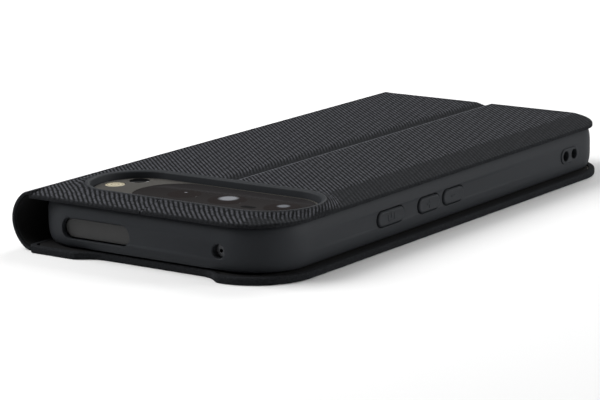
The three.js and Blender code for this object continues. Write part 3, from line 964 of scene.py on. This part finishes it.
@dataclass
class Spine:
    """The rounded spine that joins the back to the front cover."""

    x: float = -35.75
    depth: float = 5.65
    half_height: float = 7.4
    near: float = -78.2
    far: float = 79.2
    skin: float = 0.8
    gap: float = 0.05
    lining: float = 0.35

    def _section(self, inset: float) -> list[Vector]:
        """Gives the half-round section, from the top joint to the bottom one."""
        steps = 32
        points = []
        for k in range(steps + 1):
            angle = math.pi * k / steps
            out = (self.depth - 1 - inset) * math.sin(angle) + math.sin(angle) ** 3
            rise = (self.half_height - inset) * math.cos(angle)
            points.append(Vector((self.x - out, 0, self.half_height + rise)))
        return points

    def _place_on_cloth(self, point: Vector) -> tuple[float, float]:
        """Runs the cloth on round the spine from the back's edge."""
        angle = math.atan2(self.x - point.x, (point.z - self.half_height) * self.depth / 7.4)
        return (self.x - 20.6 * max(0.0, angle) / math.pi, point.y)

    def _shell(self, inset: float, wall: float, trim: float) -> Callable[[BMesh], None]:
        """Gives the step that builds one layer of the spine.

        Args:
            inset: How far its outer face is inside the spine's outer face.
            wall: Its thickness.
            trim: How much shorter it is at each end.

        Returns:
            A building step for shaped().
        """

        def build(bm: BMesh) -> None:
            verts = [bm.verts.new(p) for p in self._section(inset)]
            verts += [bm.verts.new(p) for p in reversed(self._section(inset + wall))]
            face = bm.faces.new(verts)
            length = self.far - self.near - 2 * trim
            made = bmesh.ops.extrude_face_region(bm, geom=[face])["geom"]
            moved = [g for g in made if isinstance(g, BMVert)]
            bmesh.ops.translate(bm, verts=bm.verts, vec=(0, self.near + trim, 0))
            bmesh.ops.translate(bm, verts=moved, vec=(0, length, 0))
            bmesh.ops.recalc_face_normals(bm, faces=bm.faces)
            ends = [f for f in bm.faces if abs(f.normal.y) > 0.9]
            rims = [e for f in ends for e in f.edges]
            bmesh.ops.bevel(
                bm,
                geom=rims,
                offset=min(0.18, wall * 0.3),
                affect="EDGES",
                segments=2,
                profile=0.5,
                material=-1,
            )
            ends = (self.near + 0.5, self.far - 0.5)
            mark_plain_shade_highlight(bm, lambda p: smoothstep(0, 0.4, max(ends[0] - p.y, p.y - ends[1])))
            lay_cloth(bm, self._place_on_cloth)

        return build

    def build(self) -> None:
        """Makes the cloth shell and its lining."""
        shell = shaped(self._shell(0, self.skin, 0))
        settle(shell, "spine_cloth", TwillCloth(), "spine", ["spine_outer"])
        liner = shaped(self._shell(self.skin + self.gap, self.lining, 0.6))
        settle(liner, "spine_suede", SUEDE, "spine", ["spine_lining"])
        self._join("spine_top_web", "stand_leaf", 14.0, 14.78)
        self._join("spine_bottom_web", "front_cover", 0.05, 0.8)

    def _join(self, name: str, other: str, low: float, high: float) -> None:
        """Closes the seam between the spine and the panel it turns against.

        Args:
            name: The strip's name.
            other: The panel's body.
            low: The strip's underside.
            high: Its outer face.
        """
        edges = (self.x - 0.25, self.x + 0.45)

        def build(bm: BMesh) -> None:
            raised(bm, rectangle(bm, *edges, self.near, self.far, low), high - low)
            BackPanels._cut(bm, "x", [edges[0] + 0.7 * k / 6 for k in range(1, 6)])
            mark_plain_shade_highlight(bm, lambda p: 0.5)
            lay_cloth(bm, lambda p: (p.x, p.y))

        strip = shaped(build)
        settle(strip, name, TwillCloth(), None)
        start = ((edges[0] + ASSEMBLY_X) * MM, 0, high * MM)
        end = ((edges[1] + ASSEMBLY_X) * MM, 0, high * MM)
        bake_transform(strip, "spine", other, start=start, end=end)


@dataclass
class FrontCover:
    """The cover over the display, which the closed case lies on."""

    left: float = -35.55
    right: float = 39.3
    half: float = 80.0
    corner: float = 15.75
    top: float = 1.8
    floor: float = 0.5
    border: float = 1.6

    def _outline(self, bm: BMesh, level: float) -> BMFace:
        """Adds the cover's outline with the shallow notch at its near edge."""
        half = self.half
        corners = [
            (self.left, -78.2),
            (self.left + 1.6, -half),
            (-20.6, -half),
            (-15.6, -half + 3.2),
            (18.6, -half + 3.2),
            (22.4, -half),
            (self.right, -half),
            (self.right, half),
            (self.left + 0.8, half),
            (self.left, 79.2),
        ]
        outline(bm, corners, level)
        round_corners(bm, lambda p: p.x > 39, self.corner, 20)
        round_corners(bm, lambda p: -78 < p.y < -76 and abs(p.x) < 21, 2.4, 6)
        round_corners(bm, lambda p: p.y < -79.9 and -21 < p.x < 23, 1.0, 5)
        bm.faces.ensure_lookup_table()
        return bm.faces[0]

    def _cloth(self, bm: BMesh) -> None:
        """Makes the cloth-covered plate with its pocket for the board."""
        base = self._outline(bm, 0)
        bmesh.ops.translate(bm, verts=base.verts, vec=(0, 0, 0.45))
        lid = raised(bm, base, self.top - 0.9)
        for face in (lid, base):
            rounded_end(bm, face, 0.45, 0.45, 4)
        bmesh.ops.inset_region(bm, faces=[lid], thickness=self.border - 0.45)
        bmesh.ops.inset_region(bm, faces=[lid], thickness=0.02, depth=self.floor - self.top)
        mark_plain_shade_highlight(bm, lambda p: 1 - smoothstep(0.35, 0.02, p.z))
        lay_cloth(bm, lambda p: (-92.2 - p.x + 0.7 * p.z, p.y + 0.7 * p.z))

    def _lining(self, bm: BMesh) -> None:
        """Makes the suede face inside the cloth's border."""
        face = self._outline(bm, 1.3)
        half_width = (self.right - self.left) / 2
        middle = Matrix.Translation((-(self.left + self.right) / 2, 0, 0))
        shrink = (1 - self.border / half_width, 1 - self.border / self.half, 1)
        bmesh.ops.scale(bm, vec=shrink, space=middle, verts=bm.verts)
        lid = raised(bm, face, 0.35)
        rounded_end(bm, lid, 0.15, 0.15, 3)

    def build(self) -> None:
        """Makes the cover's cloth and lining."""
        cloth = shaped(self._cloth)
        settle(cloth, "cover_cloth", TwillCloth(), "front_cover", ["front_cover_outer"])
        lining = shaped(self._lining)
        replaced = ["front_cover_lining"]
        settle(lining, "cover_suede", SUEDE, "front_cover", replaced)


@dataclass
class SoftTray:
    """The moulded tray round the phone, with its camera lip, slots and key pads."""

    opening: CameraOpening
    half_width: float = 37.4
    near: float = -77.8
    far: float = 78.7
    corner: float = 13.8
    far_corner: float = 13.0
    bottom: float = 2.2
    top: float = 13.1
    pad_height: float = 3.8
    keys: tuple[tuple[float, float], ...] = ((-34.6, -23.0), (-16.6, -7.0), (-5.3, 4.3))
    side_z: float = 7.6

    def _outline(
        self, bm: BMesh, half_width: float, half_length: float, radius: float, level: float
    ) -> BMFace:
        """Adds a centred rounded outline."""
        rectangle(bm, -half_width, half_width, -half_length, half_length, level)
        round_corners(bm, lambda p: True, radius, 20)
        bm.faces.ensure_lookup_table()
        return bm.faces[0]

    def _shell(self, bm: BMesh) -> None:
        """Makes the outer block with its barrel sides."""
        wide = self.half_width
        rectangle(bm, -wide, wide, self.near, self.far, self.bottom)
        round_corners(bm, lambda p: abs(p.x) > 37 and p.y < 0, self.corner, 20)
        round_corners(bm, lambda p: abs(p.x) > 37 and p.y > 70, self.far_corner, 20)
        bm.faces.ensure_lookup_table()
        block(bm, bm.faces[0], self.top, upper=(1.1, 4.2), lower=(1.3, 4.2), steps=9)

    def _lip(self, bm: BMesh) -> None:
        """Makes the block of the raised lip round the cameras."""
        face = self.opening.plate(bm, 0, 11.6, 18)
        block(bm, face, self.opening.rim_top, upper=(0.2, 0.12), steps=3)

    def _lip_bore(self, bm: BMesh) -> None:
        """Makes the opening through the lip, flared at its mouth."""
        face = self.opening.plate(bm, -self.opening.lip, 10, 18)
        flare, depth = 0.95, 0.55
        lid = raised(bm, face, self.opening.rim_top - depth - 10)
        rounded_end(bm, lid, -flare, depth)
        raised(bm, lid, 2)

    def _wall_slot(
        self,
        side: str,
        centre: tuple[float, float],
        size: tuple[float, float],
        wall: float,
        depth: float = 3.0,
        flare: float = 0.4,
    ) -> bpy.types.Object:
        """Makes the tool for a slot in a side wall, with a softened mouth.

        Args:
            side: The wall, as turned_along() names it.
            centre: The slot's middle along the wall and in height.
            size: Its length and height.
            wall: How far out the wall's face is.
            depth: How deep the slot goes.
            flare: The radius of its mouth.

        Returns:
            The cutting shape.
        """

        def build(bm: BMesh) -> None:
            if size[0] > size[1]:
                face = pill(bm, (0, 0), *size, -depth, 8)
            else:
                face = pill(bm, (0, 0), size[0] * 1.0001, size[0], -depth, 6)
            lid = raised(bm, face, depth - flare)
            rounded_end(bm, lid, -flare, flare)
            raised(bm, lid, 2)
            along = -centre[0] if side == "Y" else centre[0]
            place = Matrix.Translation((along, centre[1], wall))
            bmesh.ops.transform(bm, matrix=turned_along(side) @ place, verts=bm.verts)

        return shaped(build)

    def build_shell(self) -> None:
        """Makes the tray with everything that is cut into it."""
        tray = shaped(self._shell)
        combine(tray, shaped(self._lip), "UNION")
        nest = shaped(lambda bm: block(bm, self._outline(bm, 36.1, 76.5, 12.1, 2.9), 11.5))
        window = shaped(lambda bm: block(bm, self._outline(bm, 34.6, 75.0, 10.6, 0), 4.0))
        combine(tray, nest, "DIFFERENCE")
        combine(tray, window, "DIFFERENCE")
        combine(tray, shaped(self._lip_bore), "DIFFERENCE")
        end, back = -self.near, self.far
        slots = [
            ("-Y", (-15.35, 6.95), (20.9, 5.3), end),
            ("-Y", (21.8, 6.9), (3.4, 3.4), end),
            ("Y", (0.0, 6.9), (13.0, 6.6), back),
            ("Y", (18.0, 6.9), (14.0, 4.0), back),
            ("Y", (-16.2, 6.6), (16.4, 4.4), back),
            ("Y", (8.7, 6.9), (2.6, 2.6), back),
        ]
        for side, centre, size, wall in slots:
            tool = self._wall_slot(side, centre, size, wall, 3.6)
            combine(tray, tool, "DIFFERENCE")
        wall = self.half_width
        for low, high in self.keys:
            size = (high - low + 0.5, self.pad_height + 0.5)
            centre = ((low + high) / 2, self.side_z)
            tool = self._wall_slot("X", centre, size, wall, 0.6, 0.15)
            combine(tray, tool, "DIFFERENCE")
        for low, high in self.keys:
            size = (high - low + 0.36, self.pad_height + 0.36)
            centre = ((low + high) / 2, self.side_z)
            tool = self._wall_slot("X", centre, size, wall, 3.0, 0.05)
            combine(tray, tool, "DIFFERENCE")
        combine(tray, shaped(self._strap_boss), "UNION")
        for y in STRAP_HOLES:
            hole = self._wall_slot("X", (y, STRAP_HOLE_Z), (2.7, 2.7), wall + 0.3, 3.0, 0.2)
            combine(tray, hole, "DIFFERENCE")
        settle(tray, "tpu_tray", TPU, ROOT, ["tray_shell"])

    def _strap_boss(self, bm: BMesh) -> None:
        """Makes the low boss round the two strap holes."""
        face = pill(bm, (sum(STRAP_HOLES) / 2, STRAP_HOLE_Z), 9.1, 4.2, 36.4, 10)
        block(bm, face, self.half_width + 0.3, upper=(0.25, 0.3), steps=4)
        bmesh.ops.transform(bm, matrix=turned_along("X"), verts=bm.verts)

    def _pad(self, name: str, low: float, high: float, node: str, body: str, mark: str) -> None:
        """Makes one soft key pad with its raised mark.

        Args:
            name: The piece's name.
            low: Its near end.
            high: Its far end.
            node: The CAD node it stands for.
            body: The body it moves with.
            mark: "power", "plus" or "minus".
        """
        middle = (low + high) / 2

        def build(bm: BMesh) -> None:
            face = pill(bm, (middle, self.side_z), high - low, self.pad_height, 36.7, 10)
            lid = raised(bm, face, 0.65)
            rounded_end(bm, lid, 0.55, 0.5, 5)
            bmesh.ops.inset_region(bm, faces=[lid], thickness=0.5, depth=-0.08)
            bmesh.ops.transform(bm, matrix=turned_along("X"), verts=bm.verts)

        pad = shaped(build)
        for left, right, bottom, top in self._mark(mark, middle):
            bar = shaped(
                lambda bm, box=(left, right, bottom, top): self._bar(bm, *box)
            )
            combine(pad, bar, "UNION")
        settle(pad, name, TPU, body, [node])

    def _mark(self, mark: str, middle: float) -> list[tuple[float, float, float, float]]:
        """Gives a mark's bars as ranges along and up the wall."""
        z = self.side_z
        flat = (middle - 1.2, middle + 1.2, z - 0.22, z + 0.22)
        if mark == "minus":
            return [flat]
        if mark == "plus":
            return [flat, (middle - 0.22, middle + 0.22, z - 1.1, z + 1.1)]
        return [
            (middle - 1.6, middle - 1.2, z - 0.8, z + 0.8),
            (middle + 1.2, middle + 1.6, z - 0.8, z + 0.8),
            (middle - 0.2, middle + 0.2, z - 0.2, z + 1.3),
            (middle - 1.3, middle + 1.3, z - 1.15, z - 0.75),
        ]

    def _bar(self, bm: BMesh, left: float, right: float, bottom: float, top: float) -> None:
        """Makes one low raised bar on a pad."""
        face = rectangle(bm, left, right, bottom, top, 37.4)
        block(bm, face, 37.87, upper=(0.08, 0.08), steps=2)
        bmesh.ops.transform(bm, matrix=turned_along("X"), verts=bm.verts)

    def build(self) -> None:
        """Makes the tray and its three pads."""
        self.build_shell()
        power, louder, quieter = self.keys
        self._pad("power_pad_soft", *power, "power_pad", "power_button", "power")
        self._pad("louder_pad", *louder, "volume_up_pad", "volume_rocker", "plus")
        self._pad("quieter_pad", *quieter, "volume_down_pad", "volume_rocker", "minus")


@dataclass
class CameraBar:
    """The phone's camera bar with its windows."""

    opening: CameraOpening
    base: float = 10.85
    face: float = 13.8
    glass_x: float = 7.8
    glass_width: float = 50.4
    glass_height: float = 21.2
    # Each lens: its name, x, width, the radius of its painted highlight and that painted highlight's colour.
    lenses: tuple[tuple[str, float, float, float, str], ...] = (
        ("wide_lens_window", -4.0, 8.4, 0.5, "#77787c"),
        ("main_lens_window", 9.0, 9.6, 2.9, "#83858a"),
        ("tele_lens_window", 25.4, 9.2, 1.9, "#6b6d72"),
    )

    def _disc(
        self, centre: tuple[float, float], width: float, low: float, high: float, edge: float
    ) -> bpy.types.Object:
        """Makes a round plate with a softened upper edge."""

        def build(bm: BMesh) -> None:
            face = pill(bm, centre, width * 1.0001, width, low, 10)
            block(bm, face, high, upper=(edge, edge), steps=3)

        return shaped(build)

    def build(self) -> None:
        """Makes the metal bar, its glass, its lamps and its lens windows."""
        y = self.opening.y
        bar = shaped(
            lambda bm: block(
                bm, self.opening.plate(bm, -1.6, self.base, 16), self.face, upper=(0.5, 0.5)
            )
        )
        pocket = shaped(
            lambda bm: block(
                bm,
                pill(bm, (self.glass_x, y), self.glass_width + 0.1, self.glass_height + 0.1, 13.2),
                CUT_THROUGH,
            )
        )
        combine(bar, pocket, "DIFFERENCE")
        flash = (FLASH_X, y)
        sensor = (SENSOR_PLACE[0], y + SENSOR_PLACE[1])
        for centre, width in ((flash, 5.2), (sensor, 5.2)):
            combine(bar, self._disc(centre, width, 12.9, CUT_THROUGH, 0.1), "DIFFERENCE")
        settle(bar, "visor_plate", VISOR_METAL, ROOT, ["camera_bar"])
        glass = shaped(
            lambda bm: block(
                bm,
                pill(bm, (self.glass_x, y), self.glass_width, self.glass_height, 13.22, 16),
                self.face + 0.02,
                upper=(0.25, 0.12),
            )
        )
        settle(glass, "visor_glass", DARK_GLASS, ROOT, ["camera_glass"])
        lamp = self._disc(flash, 5.0, 12.95, self.face, 0.2)
        settle(lamp, "flash_window", FLASH, ROOT, ["flash_lens"])
        window = self._disc(sensor, 5.0, 12.95, self.face, 0.15)
        settle(window, "thermometer_window", SENSOR, ROOT, ["temperature_sensor"])
        slot = shaped(
            lambda bm: block(bm, pill(bm, (18.0, y - 3.6), 4.2, 2.0, 13.3), self.face + 0.03)
        )
        settle(slot, "focus_sensor_window", SENSOR, ROOT, ["autofocus_sensor"])
        for name, x, width, glint_radius, glint in self.lenses:
            # The painted highlight sits off the lens's centre, where the lamps' reflection falls; the base
            # colour is the lens's own dark reddish tint.
            finish = Finish(
                name + "_coating_and_painted_glint",
                "#191211",
                glint,
                0.18,
                ior=1.6,
                grain_mm=glint_radius,
                relief_mm=0.0,
                pattern=Pattern.LENS,
                centre=(x - 0.8, y + 1.6),
            )
            lens = self._disc((x, y), width, 13.3, self.face + 0.024, 0)
            settle(lens, name, finish, ROOT)


CARRIED: dict[Finish, tuple[str, ...]] = {
    SUEDE: ("back_panel_lining", "stand_leaf_lining"),
    BOARD: ("back_panel_board", "stand_leaf_board", "front_cover_board"),
    MAGNET: ("cover_magnet_near", "cover_magnet_far"),
    RIM_METAL: ("phone_frame", "power_key", "volume_key", "sim_tray"),
    BLACK_GLASS: ("cover_glass", "display_panel"),
    DARK_GLASS: ("back_glass",),
    SENSOR: (
        "main_camera",
        "ultrawide_camera",
        "telephoto_camera",
        "front_camera",
        "fingerprint_sensor",
    ),
    NYLON: ("antenna_window",),
    ALLOY: ("midplate",),
    CELL: ("battery",),
    CIRCUIT: ("main_board", "sub_board"),
    COPPER: ("charging_coil", "battery_flex", "button_flex"),
    STEEL: (
        "board_shield",
        "board_screw_left",
        "board_screw_right",
        "top_microphone",
        "usb_c_port",
        "sim_reader",
        "vibration_motor",
    ),
    RESIN: ("earpiece", "loudspeaker"),
}


def dress_frame() -> None:
    """Gives every carried-over node its own finish."""
    for finish, names in CARRIED.items():
        for name in names:
            dress(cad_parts[name], finish)
            LOG.info("%s: %s", name, finish.name)


# --------------------------------------------------------------------- studio and camera


@dataclass
class Studio:
    """A white table under large soft lamps, and the camera."""

    azimuth: float = 35.09
    elevation: float = 12.13
    roll: float = 0.85
    distance: float = 0.7072
    lens: float = 163.18
    shift: tuple[float, float] = (-0.0539, -0.0318)
    aim: tuple[float, float, float] = (ASSEMBLY_X * MM, 0.0, 0.007)
    horizon: float = 0.02
    zenith: float = 0.35

    def _table(self) -> None:
        """Lays the floor."""
        bm = bmesh.new()
        bmesh.ops.create_grid(bm, x_segments=1, y_segments=1, size=6)
        mesh = bpy.data.meshes.new("table_top")
        bm.to_mesh(mesh)
        bm.free()
        table = bpy.data.objects.new("table_top", mesh)
        table.location.z = -0.00002
        bpy.context.collection.objects.link(table)
        material, _, shader = new_material("white_table")
        shader.inputs["Base Color"].default_value = linear("#e0e0e0")
        shader.inputs["Roughness"].default_value = 0.9
        shader.inputs["Specular IOR Level"].default_value = 0.0
        mesh.materials.append(material)

    @staticmethod
    def _lamp(
        name: str,
        place: tuple[float, float, float],
        size: tuple[float, float],
        power: float,
        aim: tuple[float, float, float] = (0, 0, 0),
    ) -> None:
        """Hangs one soft rectangular lamp.

        Args:
            name: Its name.
            place: Where it hangs, in metres.
            size: Its width and height, in metres.
            power: Its power in watts.
            aim: The point it faces.
        """
        light = bpy.data.lights.new(name, "AREA")
        light.shape = "RECTANGLE"
        light.size, light.size_y = size
        light.energy = power
        lamp = bpy.data.objects.new(name, light)
        lamp.location = place
        lamp.rotation_euler = (Vector(aim) - Vector(place)).to_track_quat("-Z", "Y").to_euler()
        bpy.context.collection.objects.link(lamp)

    def _camera(self) -> None:
        """Sets the camera by its angles about the aim point."""
        az, el, roll = (math.radians(a) for a in (self.azimuth, self.elevation, self.roll))
        back = Vector((math.sin(az) * math.cos(el), -math.cos(az) * math.cos(el), math.sin(el)))
        right = Vector((math.cos(az), math.sin(az), 0))
        up = back.cross(right)
        turned_right = right * math.cos(roll) - up * math.sin(roll)
        turned_up = right * math.sin(roll) + up * math.cos(roll)
        data = bpy.data.cameras.new("studio_camera")
        data.lens = self.lens
        data.sensor_width = 36
        data.sensor_fit = "HORIZONTAL"
        data.shift_x, data.shift_y = self.shift
        data.clip_start, data.clip_end = 0.02, 30
        camera = bpy.data.objects.new("studio_camera", data)
        turn = Matrix((turned_right, turned_up, back)).transposed().to_4x4()
        camera.matrix_world = Matrix.Translation(Vector(self.aim) + back * self.distance) @ turn
        bpy.context.collection.objects.link(camera)
        bpy.context.scene.camera = camera

    def build(self) -> None:
        """Sets the table, the lamps and the camera."""
        self._table()
        world = bpy.data.worlds.new("studio")
        world.use_nodes = True
        tree = world.node_tree
        sky = tree.nodes["Background"]
        place = add_node(tree, "ShaderNodeTexCoord").outputs["Generated"]
        rise = add_node(tree, "ShaderNodeSeparateXYZ", None, {0: place}).outputs[2]
        glow = add_node(
            tree,
            "ShaderNodeMapRange",
            {"interpolation_type": "SMOOTHSTEP"},
            {0: rise, 1: 0.1, 2: 0.8, 3: self.horizon, 4: self.zenith},
        )
        tree.links.new(glow.outputs[0], sky.inputs["Strength"])
        sky.inputs["Color"].default_value = (1, 1, 1, 1)
        bpy.context.scene.world = world
        self._lamp("left_above", (-0.45, -0.25, 0.5), (0.5, 0.5), 7.0)
        self._lamp("right_side", (0.8, 0.5, 0.2), (0.4, 0.3), 6.0)
        self._lamp("behind", (-0.1, 0.7, 0.6), (0.6, 0.6), 4.5)
        self._camera()
        bpy.context.scene.view_settings.view_transform = "Standard"


def main() -> None:
    """Builds the pieces in order."""
    logging.basicConfig(level=logging.INFO, format="%(message)s")
    opening = CameraOpening()
    dress_frame()
    BackPanels(opening).build()
    Spine().build()
    FrontCover().build()
    SoftTray(opening).build()
    CameraBar(opening).build()
    Studio().build()


if __name__ == "__main__":
    main()
